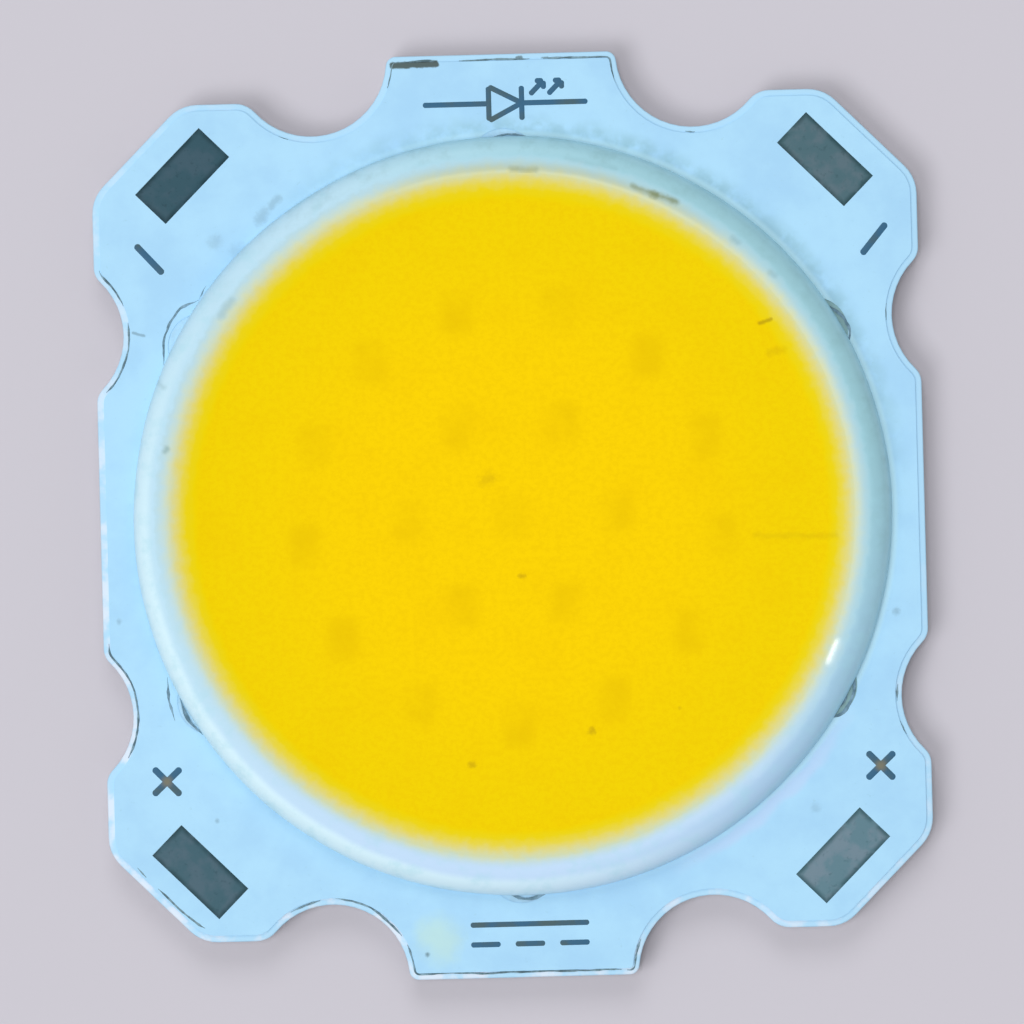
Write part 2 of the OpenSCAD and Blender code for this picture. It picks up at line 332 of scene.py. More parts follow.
def sharpAt(bm, height):  # the sharp edges that lie level at this height
    return [e for e in bm.edges if e.is_manifold and e.calc_face_angle(0) > 1
            and all(abs(v.co.z / mm - height) < sameLevel for v in e.verts)]


def softenRim(bm, height, width, segments=3):  # rounds the sharp edges at this height
    rim = sharpAt(bm, height)
    bmesh.ops.bevel(bm, geom=rim, offset=width * mm, offset_type="OFFSET", segments=segments,
                    profile=0.5, affect="EDGES", clamp_overlap=True, material=-1)


def inkStroke(bm, points, width, height, thickness=0.006, taper=None):  # flat and round-ended
    capSteps, smallest = 5, 0.02
    ends = [1 - math.cos(math.pi / 2 * k / capSteps) for k in range(capSteps)]
    first = [points[0] + (points[1] - points[0]).normalized() * width / 2 * e for e in ends]
    last = [points[-1] + (points[-2] - points[-1]).normalized() * width / 2 * e for e in ends]
    sizes = [max(math.sqrt(1 - (1 - e) ** 2), smallest) for e in ends]
    inside = points[1:-1]
    path = first + inside + last[::-1]
    if taper is None:
        sizes = sizes + [1.0] * len(inside) + sizes[::-1]
    else:  # an uneven line that thins out over this many points at each end
        waist = [min(1, (k + 1) / taper, (len(inside) - k) / taper) for k in range(len(inside))]
        waist = [w * (0.85 + 0.5 * noise.noise(p * 4)) for w, p in zip(waist, inside)]
        leading, trailing = waist[0], waist[-1]
        sizes = [s * leading for s in sizes] + waist + [s * trailing for s in sizes[::-1]]
    curve = bpy.data.curves.new("stroke", "CURVE")
    curve.dimensions = "3D"
    curve.bevel_depth = width / 2 * mm
    curve.bevel_resolution = 3
    curve.use_fill_caps = True
    line = curve.splines.new("POLY")
    line.points.add(len(path) - 1)
    for place, spot, size in zip(line.points, path, sizes):
        place.co = (spot.x * mm, spot.y * mm, 0, 1)
        place.radius = size
    stroke = bpy.data.objects.new("stroke", curve)
    mesh = stroke.to_mesh()
    flatten = Matrix.Diagonal((1, 1, 2 * thickness / width, 1))
    mesh.transform(Matrix.Translation((0, 0, height * mm)) @ flatten)
    bm.from_mesh(mesh)
    stroke.to_mesh_clear()
    bpy.data.objects.remove(stroke)
    bpy.data.curves.remove(curve)


# base plate

plateLook = {
    "metal": colour(206, 208, 212),
    "shade": colour(190, 193, 199),
    "roughness": 0.38,
    "roughnessRange": (0.3, 0.46),
    "rolling": (9.0, 0.25, 1.0),  # the rolled lines run along the board
    "edgeRounding": 0.06,
}


def plateMaterial():
    material, tree, shader = newMaterial("rolled aluminium", plateLook["roughness"], 1.0)
    place = boardPlace(tree)
    rolled = vector(tree, "MULTIPLY", place, plateLook["rolling"])
    lines = grainOf(tree, rolled, 1.0, 4.0, 0.7)
    cloud = ramp(tree, grainOf(tree, place, 0.35, 3.0), 0.3, 0.8)
    body = blend(tree, cloud, plateLook["metal"], plateLook["shade"])
    feed(tree, shader.inputs["Base Color"], body)
    rough = ramp(tree, lines, 0.3, 0.7, *plateLook["roughnessRange"])
    feed(tree, shader.inputs["Roughness"], rough)
    feed(tree, shader.inputs["Normal"], bumpOf(tree, lines, 0.25, 0.01))
    return material


def makePlate():
    bm = mergedCopy("base_plate")
    softenRim(bm, level("base_plate", top=False), plateLook["edgeRounding"])
    finishPiece("basePlate", bm, plateMaterial(), ["base_plate"], flatLevels=True)


makePlate()
print("plate done")

# circuit layers

layerLook = {
    "film": colour(177, 223, 251),
    # painted highlight: paler patches on the rim's lower-left side
    "filmLitPatch": colour(220, 235, 251),
    "litPatchSide": (235, 0.9),
    "filmRounding": 0.045,
    "chipped": colour(60, 76, 70),
    # where the paint has chipped off: start, end, width and strength
    "chips": [
        ((-3.28, 13.73), (-1.98, 13.75), 0.2, 0.95), ((0.5, 13.88), (0.62, 13.88), 0.07, 0.7),
        ((1.25, 13.86), (1.42, 13.86), 0.06, 0.7), ((-11.95, -10.75), (-10.2, -12.4), 0.06, 0.4)],
    "chipEdge": (0.03, 0.16, 4.0),  # softness, raggedness and grain
    "sheet": colour(214, 206, 182),
    "sheetShade": colour(196, 188, 162),
    "copper": colour(176, 112, 74),
    "tinned": colour(60, 88, 96),
    "tinnedFrom": (12.2, 12.4),
    "floorDark": colour(140, 182, 186),
    "floorPale": colour(176, 221, 248),
    "floorGrain": colour(86, 120, 122),
    "floorBand": ((10.9, 11.2), (11.9, 12.1)),
    "darkWindows": [30, -30],
    "windowCircle": 11.3,
    "windowSpot": (2.4, 0.1),  # width and softness
}


def chipped(tree, place, body, chips):
    for start, end, width, strength in chips:
        chip = markAt(tree, place, start, end, width, *layerLook["chipEdge"])
        body = tinted(tree, body, chip, strength, layerLook["chipped"])
    return body


def filmMaterial():
    material, tree, shader = newMaterial("circuit film", 0.5, 0.0, 0.35)
    place = boardPlace(tree)
    # painted highlight: paler patches on the lower-left side of the rim, towards the key lamp
    litPatches = ramp(tree, grainOf(tree, place, 1.4, 3.0, 0.6), 0.4, 0.65)
    litPatches = times(tree, litPatches, facing(tree, place, *layerLook["litPatchSide"]))
    body = blend(tree, litPatches, layerLook["film"], layerLook["filmLitPatch"])
    body = chipped(tree, place, body, layerLook["chips"])
    feed(tree, shader.inputs["Base Color"], body)
    return material


def sheetMaterial():
    material, tree, shader = newMaterial("bonding sheet", 0.6, 0.0, 0.3)
    shade = grainOf(tree, boardPlace(tree), 4.0)
    body = blend(tree, shade, layerLook["sheet"], layerLook["sheetShade"])
    feed(tree, shader.inputs["Base Color"], body)
    return material


def copperMaterial():  # the foil under the mask, and what shows in the windows round the dam
    material, tree, shader = newMaterial("copper foil", 0.45, 0.0, 0.4)
    place = boardPlace(tree)
    spots = [around(angle, layerLook["windowCircle"]).xy for angle in layerLook["darkWindows"]]
    spots = [markAt(tree, place, spot, spot, *layerLook["windowSpot"]) for spot in spots]
    dark = calc(tree, "MAXIMUM", *spots)
    radius = radiusAt(tree, place)
    ring = band(tree, radius, *layerLook["floorBand"])
    grain = ramp(tree, grainOf(tree, place, 5.0, 3.0), 0.3, 0.7)
    floor = blend(tree, dark, layerLook["floorPale"], layerLook["floorDark"])
    floor = tinted(tree, floor, grain, 0.12, layerLook["floorGrain"])
    tinned = ramp(tree, radius, *layerLook["tinnedFrom"])
    foil = blend(tree, tinned, layerLook["copper"], layerLook["tinned"])
    feed(tree, shader.inputs["Base Color"], blend(tree, ring, foil, floor))
    return material


def makeLayers():
    film = mergedCopy("circuit_film")
    softenRim(film, board["filmTop"], layerLook["filmRounding"])
    finishPiece("circuitFilm", film, filmMaterial(), ["circuit_film"],
                flatLevels=True)
    cad["bonding_sheet"].data.materials[0] = sheetMaterial()
    foil = copperMaterial()
    for node in ("positive_copper", "negative_copper"):
        cad[node].data.materials[0] = foil


makeLayers()
print("circuit layers done")

# solder mask

maskLook = {
    "paint": colour(174, 223, 252),
    "shade": colour(165, 214, 247),
    "dust": colour(130, 178, 190),
    "stain": colour(196, 230, 212),
    "speck": colour(70, 95, 100),
    # painted shadow outside the dam's foot at the lower right
    "softShadow": colour(192, 214, 248),
    "contact": colour(200, 242, 255),
    "roughness": 0.42,
    # bands round the axis (where they rise and fall, in mm) and sides (angle and spread)
    "darkBand": ((11.1, 11.4), (11.7, 12.3)),
    "darkBandSide": (62, -0.3),
    "contactFall": (11.56, 11.74),
    "contactSide": (20, 0.5),
    "softShadowBand": ((11.55, 11.75), (11.85, 12.1)),
    "softShadowSide": (311, -0.94),
    "stainMark": ((-2.62, -12.72), (-2.5, -12.86), 1.1, 0.4, 0.7, 1.5),
    # small specks: start, end, width and strength
    "specks": [
        ((-2.93, -13.23), (-2.93, -13.23), 0.12, 0.7), ((-9.2, -9.02), (-9.2, -9.02), 0.12, 0.35),
        ((-8.1, 8.15), (-8.1, 8.15), 0.5, 0.16), ((11.55, -3.2), (11.55, -3.2), 0.2, 0.3),
        ((8.95, -9.1), (8.95, -9.1), 0.25, 0.16), ((-12.0, -2.9), (-12.0, -2.9), 0.15, 0.3),
        ((6.0, -12.6), (6.0, -12.6), 0.35, 0.16), ((-8.85, 8.5), (-8.8, 8.55), 0.35, 0.18),
        ((-7.05, 9.6), (-6.85, 9.8), 0.22, 0.26), ((-7.45, 9.15), (-7.3, 9.35), 0.3, 0.24),
        ((-11.36, 5.84), (-11.02, 5.74), 0.07, 0.45)],
    # the dashes along the mask's edge: painted shadow of its step, and tears
    "edgeLine": colour(86, 112, 122),
    "edgePale": colour(142, 174, 188),
    "edgeLineWidth": 0.07,
    "edgeGap": 0.035,
    "edgeStep": 0.08,
    "edgeWave": 0.06,
    "waveScale": 1.1,
    "tearScale": 1.7,
    # from one angle about the axis to another, how much of the edge carries dark dashes (painted
    # shadow and tears), and how far in
    "torn": [
        (254.6, 285.4, 0.95, 0), (239, 254, 0.8, 0), (221, 232, 0.62, 0.13), (196, 211, 0.8, 0),
        (146, 162, 0.75, 0), (75, 105, 0.6, 0), (26, 31, 0.4, 0), (328, 338, 0.4, 0)],
    "tornElsewhere": 0.12,
    "shortest": 5,  # points in the shortest flake
}


def maskMaterial():
    material, tree, shader = newMaterial("solder mask", maskLook["roughness"], 0.0, 0.3)
    place = boardPlace(tree)
    shade = ramp(tree, grainOf(tree, place, 0.5, 4.0, 0.6), 0.35, 0.7)
    paint = blend(tree, shade, maskLook["paint"], maskLook["shade"])
    dust = ramp(tree, grainOf(tree, place, 7.0, 2.0, 0.6), 0.66, 0.8)
    paint = tinted(tree, paint, dust, 0.18, maskLook["dust"])
    # a darker, mottled band along the dam's foot, most of it towards the negative end
    radius = radiusAt(tree, place, 0.4, 1.2)
    cloud = ramp(tree, grainOf(tree, place, 1.8, 3.0, 0.55), 0.25, 0.65)
    grime = times(tree, band(tree, radius, *maskLook["darkBand"]), cloud)
    grime = times(tree, grime, facing(tree, place, *maskLook["darkBandSide"]))
    paint = tinted(tree, paint, grime, 0.55, maskLook["dust"])
    # paler where the dam's foot keeps the light off it
    contact = ramp(tree, radiusAt(tree, place), *maskLook["contactFall"], 1.0, 0.0)
    contact = times(tree, contact, facing(tree, place, *maskLook["contactSide"]))
    paint = tinted(tree, paint, contact, 0.75, maskLook["contact"])
    # painted shadow: a faint lilac band outside the dam's foot at the lower right
    softShadow = band(tree, radius, *maskLook["softShadowBand"])
    softShadow = times(tree, softShadow, facing(tree, place, *maskLook["softShadowSide"]))
    paint = tinted(tree, paint, softShadow, 0.6, maskLook["softShadow"])
    stain = markAt(tree, place, *maskLook["stainMark"])
    paint = tinted(tree, paint, stain, 0.55, maskLook["stain"])
    for start, end, width, strength in maskLook["specks"]:
        speck = markAt(tree, place, start, end, width, width * 0.4, width, 5.0)
        paint = tinted(tree, paint, speck, strength, maskLook["speck"])
    paint = chipped(tree, place, paint, layerLook["chips"][:1])  # the first one reaches the mask
    feed(tree, shader.inputs["Base Color"], paint)
    feed(tree, shader.inputs["Normal"], bumpOf(tree, grainOf(tree, place, 12.0, 2.0), 0.15, 0.004))
    return material


def shadeAndTearMaterial(name, dark, pale):  # the uneven dark line along a step in the paint: painted shade there, with tears and cracks
    material, tree, shader = newMaterial(name, 0.6, 0.0, 0.2)
    tone = ramp(tree, grainOf(tree, boardPlace(tree), 3.0, 3.0, 0.7), 0.35, 0.7)
    feed(tree, shader.inputs["Base Color"], blend(tree, tone, dark, pale))
    return material


def maskOutline(step):  # evenly spaced points along the mask's outside, and the way out at each
    bm = mergedCopy("solder_mask")
    rims = set(sharpAt(bm, board["maskTop"]))
    loops = []
    while rims:
        edge = rims.pop()
        line = list(edge.verts)
        while following := next((e for e in line[-1].link_edges if e in rims), None):
            rims.discard(following)
            line.append(following.other_vert(line[-1]))
        loops.append([Vector((v.co.x, v.co.y, 0)) / mm for v in line])
    bm.free()
    outline = max(loops, key=lambda loop: max(p.length for p in loop))[:-1]
    area = sum(a.x * b.y - b.x * a.y for a, b in zip(outline, outline[1:] + outline[:1]))
    if area < 0:
        outline.reverse()
    first = outline.index(max(outline, key=lambda p: p.x + p.y / 100))
    outline = outline[first:] + outline[:first]  # so that every run starts at the same point
    points = []
    for a, b in zip(outline, outline[1:] + outline[:1]):
        cuts = max(1, round((b - a).length / step))
        points += [a.lerp(b, k / cuts) for k in range(cuts)]
    ways = []
    for before, after in zip(points[-1:] + points[:-1], points[1:] + points[:1]):
        along = (after - before).normalized()
        ways.append(Vector((along.y, -along.x, 0)))
    return points, ways


def makeMaskEdge():  # dark dashes along the mask's edge: painted shadow of the mask's step on the film, and flakes where the edge has torn
    points, ways = maskOutline(maskLook["edgeStep"])
    bm = bmesh.new()
    dashes = [[]]
    for point, way in zip(points, ways):
        angle = math.degrees(math.atan2(point.y, point.x)) % 360
        zones = [zone[2:] for zone in maskLook["torn"] if zone[0] < angle < zone[1]]
        amount, inward = zones[0] if zones else (maskLook["tornElsewhere"], 0)
        if 0.5 + 0.8 * noise.noise(point * maskLook["tearScale"]) < amount:
            wave = noise.noise(point * maskLook["waveScale"] + Vector((0, 0, 7)))
            away = maskLook["edgeGap"] + maskLook["edgeWave"] * wave
            height = board["maskTop"] if inward else board["filmTop"] + 0.008
            dashes[-1].append((point + way * (away - inward), height))
        elif dashes[-1]:
            dashes.append([])
    for dash in dashes:
        if len(dash) >= maskLook["shortest"]:
            height = dash[-1][1]
            thickness = 0.006 if height == board["maskTop"] else 0.02
            path = [spot for spot, _ in dash]
            inkStroke(bm, path, maskLook["edgeLineWidth"], height, thickness, taper=3)
    material = shadeAndTearMaterial("mask edge shade and tears", maskLook["edgeLine"], maskLook["edgePale"])
    finishPiece("maskEdge", bm, material)


cad["solder_mask"].data.materials[0] = maskMaterial()
makeMaskEdge()
print("solder mask done")

# solder pads

padLook = {
    "tin": colour(96, 130, 143),
    "pale": colour(113, 136, 150),
    "dark": colour(40, 80, 88),
    "tones": {
        "pad_negative_left": (0.27, 0.4, 0.44),
        "pad_negative_right": (0.6, 0.66, 0.65),
        "pad_positive_left": (0.44, 0.55, 0.58),
        "pad_positive_right": (1.0, 1.0, 1.0)},
    "length": 2.8,
    "width": 1.28,
    "roughness": 0.45,
    "rimEnds": (0.86, 1.0),  # shares of the half length and half width
    "rimSides": (0.7, 1.0),
    "dome": 0.03,
    "waver": 0.03,
    "waverScale": 1.7,
    "across": 30,
}


def padMaterial(name, centre, turn, tone):
    material, tree, shader = newMaterial(name, padLook["roughness"], 0.0, 0.12)
    place = boardPlace(tree)
    mapping = tree.nodes.new("ShaderNodeMapping")
    mapping.vector_type = "TEXTURE"
    mapping.inputs["Location"].default_value = centre
    mapping.inputs["Rotation"].default_value = (0, 0, math.radians(turn))
    feed(tree, mapping.inputs["Vector"], place)
    half = (padLook["length"] / 2, padLook["width"] / 2, 1)
    out = vector(tree, "DIVIDE", vector(tree, "ABSOLUTE", mapping.outputs["Vector"]), half)
    split = tree.nodes.new("ShaderNodeSeparateXYZ")
    feed(tree, split.inputs[0], out)
    nearEnd = ramp(tree, split.outputs[0], *padLook["rimEnds"])
    nearSide = ramp(tree, split.outputs[1], *padLook["rimSides"])
    rim = calc(tree, "MAXIMUM", nearEnd, nearSide)
    rim = times(tree, rim, ramp(tree, grainOf(tree, place, 1.8, 3.0), 0.25, 0.55))
    cloud = ramp(tree, grainOf(tree, place, 1.5, 3.0, 0.55), 0.42, 0.62)
    tin = blend(tree, cloud, padLook["tin"], padLook["pale"])
    tin = blend(tree, 1.0, tin, (*tone, 1), "MULTIPLY")
    tinDark = (*(value * share for value, share in zip(padLook["dark"], tone)), 1)
    tin = tinted(tree, tin, rim, 0.8, tinDark)
    spots = ramp(tree, grainOf(tree, place, 5.0, 3.0, 0.6), 0.56, 0.75)
    tin = tinted(tree, tin, spots, 0.35, tinDark)
    feed(tree, shader.inputs["Base Color"], tin)
    bumps = grainOf(tree, place, 3.0, 4.0, 0.6)
    feed(tree, shader.inputs["Normal"], bumpOf(tree, bumps, 0.3, 0.02))
    return material


def makePad(name, node, turn):  # tin levelled by hot air: a low dome with an uneven outline
    centre = middle(node)
    foot, top = level(node, top=False), level(node)
    bm = bmesh.new()
    cells = padLook["across"]
    bmesh.ops.create_grid(bm, x_segments=cells, y_segments=cells // 2, size=0.5)
    bmesh.ops.scale(bm, verts=bm.verts, vec=(padLook["length"] * mm, padLook["width"] * mm, 1))
    half = Vector((padLook["length"] / 2, padLook["width"] / 2)) * mm
    for v in bm.verts:
        across = Vector((v.co.x / half.x, v.co.y / half.y))
        waver = max(abs(across.x), abs(across.y)) ** 6 * padLook["waver"] * mm
        seed = Vector((v.co.x, v.co.y, 0)) / mm * padLook["waverScale"] + centre
        v.co.x += across.x * waver * noise.noise(seed)
        v.co.y += across.y * waver * noise.noise(seed + Vector((5, 5, 5)))
        dome = (1 - across.x ** 4) * (1 - across.y ** 4)
        v.co.z = (top - padLook["dome"] * (1 - dome)) * mm
    rim = [e for e in bm.edges if e.is_boundary]
    made = bmesh.ops.extrude_edge_only(bm, edges=rim)
    for v in (g for g in made["geom"] if isinstance(g, bmesh.types.BMVert)):
        v.co.z = foot * mm
    bmesh.ops.holes_fill(bm, edges=[e for e in bm.edges if e.is_boundary])
    spin = Matrix.Rotation(math.radians(turn), 3, "Z")
    bmesh.ops.rotate(bm, verts=bm.verts, cent=(0, 0, 0), matrix=spin)
    bmesh.ops.translate(bm, verts=bm.verts, vec=(centre.x * mm, centre.y * mm, 0))
    material = padMaterial(f"{name} tin", centre, turn, padLook["tones"][node])
    finishPiece(name, bm, material, [node])


def makePads():
    for end, up in (("positive", -1), ("negative", 1)):
        for side, right in (("left", -1), ("right", 1)):
            makePad(f"pad{end.title()}{side.title()}", f"pad_{end}_{side}", -45 * up * right)


makePads()
print("solder pads done")

# silicone dam

damLook = {
    "milky": colour(190, 226, 244),
    # painted shade on the bead's side away from the key lamp; also the tone of its random clouds
    "shade": colour(168, 219, 235),
    # painted reflection: the lilac tint on the bead's lower side
    "lilacReflection": colour(194, 222, 251),
    "gleam": colour(216, 245, 255),
    # painted shade on the right-hand outer flank, bluer towards the lower right
    "flankShade": colour(148, 192, 204),
    "flankShadeBlue": colour(158, 198, 230),
    "shaded": colour(156, 205, 215),
    # painted light that lifts the shade at the bead's right-hand foot
    "foot": colour(190, 236, 252),
    "grime": colour(118, 156, 158),
    # olive: the colour of debris, and of a painted shade line where the fill meets the bead
    "olive": colour(120, 132, 84),
    # where each tone starts and is full (mm from the axis), its side (angle, spread), its strength
    "zones": {
        # painted shade on the right-hand outer flank
        "flankShade": ((10.6, 11.0), (4, 0.1), 0.8),
        # painted light at the right-hand foot
        "foot": ((11.25, 11.45), (20, 0.3), 0.8),
        "gleam": ((10.9, 11.15), (222, 0.0), 0.9),
        "grime": ((10.85, 11.1), (56, 0.2), 0.4),
        "milky": ((10.35, 10.75), (262, 0.2), 1.0),
        "shaded": ((10.45, 10.8), (35, 0.0), 0.5),
        # painted shade: a thin line where the fill meets the bead on the upper side
        "olive": ((10.4, 10.52), (80, -0.8), 0.22),
    },
    "oliveShadeEnd": (10.55, 10.8),
    # start, end, width, strength and tone
    "marks": [
        ((3.9, 9.87), (4.6, 9.58), 0.12, 0.65, "olive"),
        ((4.5, 9.62), (5.2, 9.37), 0.17, 0.75, "olive"),
        ((0.25, 10.47), (0.95, 10.42), 0.16, 0.4, "olive"),
        ((-10.46, 2.21), (-10.4, 2.3), 0.12, 0.6, "grime"),
        ((-8.65, 6.3), (-8.35, 6.7), 0.24, 0.28, "grime"),
        ((6.9, 8.2), (7.0, 8.1), 0.16, 0.35, "grime"),
        ((8.0, 7.15), (8.1, 7.05), 0.14, 0.3, "grime"),
        ((1.9, 10.75), (3.4, 10.4), 0.12, 0.2, "grime"),
        ((-10.6, 4.3), (-10.45, 4.15), 0.1, 0.3, "grime")],
    "roughness": 0.42,
    "wetSpot": ((9.74, -4.2), (9.56, -4.6), 0.4, 0.12),
    "wetRoughness": 0.19,
    "steps": 300,
    "profileSteps": 26,
    "wobble": 0.04,
    "swayScale": 1.6,
    "rippleScale": 5,
    "ripple": 0.4,  # as a share of the sway
    "swellScale": 2.3,
    "squareness": 2.6,  # 2 is an ellipse; more gives a flatter crest and steeper sides
}


def damSurface(radius):  # how high the bead's skin lies at this distance from the axis
    across = min(abs(radius - board["damCrest"]) / (board["damWidth"] / 2), 1)
    power = damLook["squareness"]
    share = (1 - across ** power) ** (1 / power)
    return board["maskTop"] + (board["damTop"] - board["maskTop"]) * share


def unevenness(spot):  # how far the hand-laid bead wanders sideways and sinks, in mm, at this place
    direction = Vector((spot.x, spot.y, 0)).normalized()
    sway = noise.noise(direction * damLook["swayScale"] + Vector((0, 0, 3)))
    sway += damLook["ripple"] * noise.noise(direction * damLook["rippleScale"])
    swell = min(noise.noise(direction * damLook["swellScale"] + Vector((0, 0, 9))), 0)
    return direction * sway * damLook["wobble"], swell * damLook["wobble"] / 4


def damMaterial():
    material, tree, shader = newMaterial("translucent silicone", damLook["roughness"], 0.0, 0.3)
    place = boardPlace(tree)
    ragged = radiusAt(tree, place, 0.3, 2.0)
    smooth = radiusAt(tree, place, 0.08, 0.7)

    def zone(name, radius):
        rise, side, strength = damLook["zones"][name]
        return times(tree, zoneAt(tree, place, radius, rise, side), strength)

    # painted reflection: the bead's lower side is tinted lilac
    body = blend(tree, facing(tree, place, 285, 0.0), damLook["milky"], damLook["lilacReflection"])
    # painted shade: the side away from the key lamp is darker
    body = blend(tree, facing(tree, place, 40, 0.0), body, damLook["shade"])
    # painted shade on the right-hand outer flank, bluer towards the lower right
    flankShade = blend(tree, facing(tree, place, 300, -0.2), damLook["flankShade"], damLook["flankShadeBlue"])
    body = blend(tree, zone("flankShade", ragged), body, flankShade)
    # painted light: the right-hand foot is paler, lifting the shade that falls there
    body = blend(tree, zone("foot", smooth), body, damLook["foot"])
    body = blend(tree, zone("gleam", smooth), body, damLook["gleam"])
    dirt = ramp(tree, grainOf(tree, place, 1.5, 3.0, 0.65), 0.4, 0.75)
    body = tinted(tree, body, zone("grime", ragged), dirt, damLook["grime"])
    cloud = ramp(tree, grainOf(tree, place, 1.8, 3.0, 0.6), 0.45, 0.75)
    body = tinted(tree, body, cloud, 0.35, damLook["shade"])
    tint, clear = edgeAt(tree, place)
    body = blend(tree, calc(tree, "MAXIMUM", clear, zone("milky", smooth)), tint, body)
    body = blend(tree, zone("shaded", smooth), body, damLook["shaded"])
    # painted shade: a thin olive line where the fill meets the bead on the upper side
    end = ramp(tree, smooth, *damLook["oliveShadeEnd"], 1.0, 0.0)
    body = tinted(tree, body, zone("olive", smooth), end, damLook["olive"])
    for start, end, width, strength, tone in damLook["marks"]:
        mark = markAt(tree, place, start, end, width, 0.1, 0.2, 3.0)
        body = tinted(tree, body, mark, strength, damLook[tone])
    feed(tree, shader.inputs["Base Color"], body)
    feed(tree, shader.inputs["Coat Weight"], markAt(tree, place, *damLook["wetSpot"]))
    shader.inputs["Coat Roughness"].default_value = damLook["wetRoughness"]
    feed(tree, shader.inputs["Normal"], bumpOf(tree, grainOf(tree, place, 1.4, 2.0), 0.12, 0.05))
    return material


def makeDam():
    bm = bmesh.new()
    half = board["damWidth"] / 2
    steps = damLook["profileSteps"]
    radii = [board["damCrest"] + half * math.cos(math.pi * k / steps) for k in range(steps + 1)]
    outline = [(r, damSurface(r)) for r in radii]
    outline += [(board["damInside"], board["filmTop"]), (board["damFoot"], board["filmTop"])]
    ring = [bm.verts.new((r * mm, 0, z * mm)) for r, z in outline]
    edges = [bm.edges.new(pair) for pair in zip(ring, ring[1:] + ring[:1])]
    bmesh.ops.spin(bm, geom=ring + edges, cent=(0, 0, 0), axis=(0, 0, 1), angle=math.tau,
                   steps=damLook["steps"], use_merge=True)
    for v in bm.verts:
        height = (v.co.z / mm - board["maskTop"]) / (board["damTop"] - board["maskTop"])
        sideways, sink = unevenness(v.co)
        if height > 0:
            v.co += (sideways + Vector((0, 0, sink * height))) * mm
    finishPiece("siliconeDam", bm, damMaterial(), ["silicone_dam"], sharpAngle=60)


makeDam()
print("dam done")

# phosphor fill

fillLook = {
    "yellow": colour(254, 214, 0),
    "outer": colour(245, 213, 0),
    "warm": colour(240, 190, 0),
    "grain": colour(238, 196, 0),
    "chip": colour(224, 182, 0),
    "speck": colour(150, 112, 20),
    "paleRise": (4.0, 9.6),  # mm from the axis
    "edgeRise": (9.45, 9.75),
    # start, end, width and strength
    "marks": [
        ((-0.76, 1.1), (-0.66, 1.16), 0.34, 0.2), ((0.23, -1.83), (0.27, -1.83), 0.16, 0.38),
        ((2.25, -6.57), (2.2, -6.6), 0.17, 0.4), ((-1.46, -7.51), (-1.4, -7.5), 0.16, 0.35),
        ((7.62, 5.62), (7.98, 5.74), 0.09, 0.5), ((7.33, -0.8), (9.75, -0.87), 0.16, 0.13),
        ((4.9, -5.95), (4.9, -5.95), 0.1, 0.3), ((7.9, 4.75), (8.3, 4.78), 0.2, 0.15)],
    "roughness": 0.6,
    "sag": 0.1,
    "meniscus": 1.6,
    "rings": 70,
    "steps": 300,
    "chipStrength": 0.36,
    "chipReach": 0.6,
    "chipInset": 0.22,
}
chips = [f"led_chip_{i:02d}" for i in range(1, 21)]


def fillMaterial():
    material, tree, shader = newMaterial("phosphor silicone", fillLook["roughness"], 0.0, 0.03)
    place = boardPlace(tree)
    radius = radiusAt(tree, place)
    outwards = ramp(tree, radius, *fillLook["paleRise"])
    body = blend(tree, outwards, fillLook["yellow"], fillLook["outer"])
    cloud = ramp(tree, grainOf(tree, place, 0.6, 3.0), 0.45, 0.75)
    body = tinted(tree, body, cloud, 0.15, fillLook["warm"])
    # the chips show through as soft, uneven shadows
    shade = tree.nodes.new("ShaderNodeAttribute")
    shade.attribute_name = "chipShade"
    soft = ramp(tree, shade.outputs["Fac"], 0.0, 1.0)
    uneven = ramp(tree, grainOf(tree, place, 0.9, 1.0, 0.5), 0.32, 0.66, 0.35, 1.0)
    shadow = times(tree, soft, uneven)
    body = tinted(tree, body, shadow, fillLook["chipStrength"], fillLook["chip"])
    grain = ramp(tree, grainOf(tree, place, 5.5, 3.0, 0.7), 0.4, 0.64)
    body = tinted(tree, body, grain, 0.32, fillLook["grain"])
    tint, _ = edgeAt(tree, place)
    atEdge = ramp(tree, radiusAt(tree, place, 0.2, 1.8), *fillLook["edgeRise"])
    body = blend(tree, atEdge, body, tint)
    for start, end, width, strength in fillLook["marks"]:
        mark = markAt(tree, place, start, end, width, max(0.04, width * 0.5), width * 1.6, 5.0)
        body = tinted(tree, body, mark, strength, fillLook["speck"])
    feed(tree, shader.inputs["Base Color"], body)
    bumps = grainOf(tree, place, 8.0, 3.0, 0.6)
    feed(tree, shader.inputs["Normal"], bumpOf(tree, bumps, 0.2, 0.01))
    return material


def fillHeight(radius):  # level in the middle, climbing to meet the dam
    start = board["fillEdge"] - fillLook["meniscus"]
    share = max(0.0, (radius - start) / fillLook["meniscus"])
    flat = board["fillTop"] - fillLook["sag"]
    return flat + (damSurface(board["fillEdge"]) - flat) * share * share


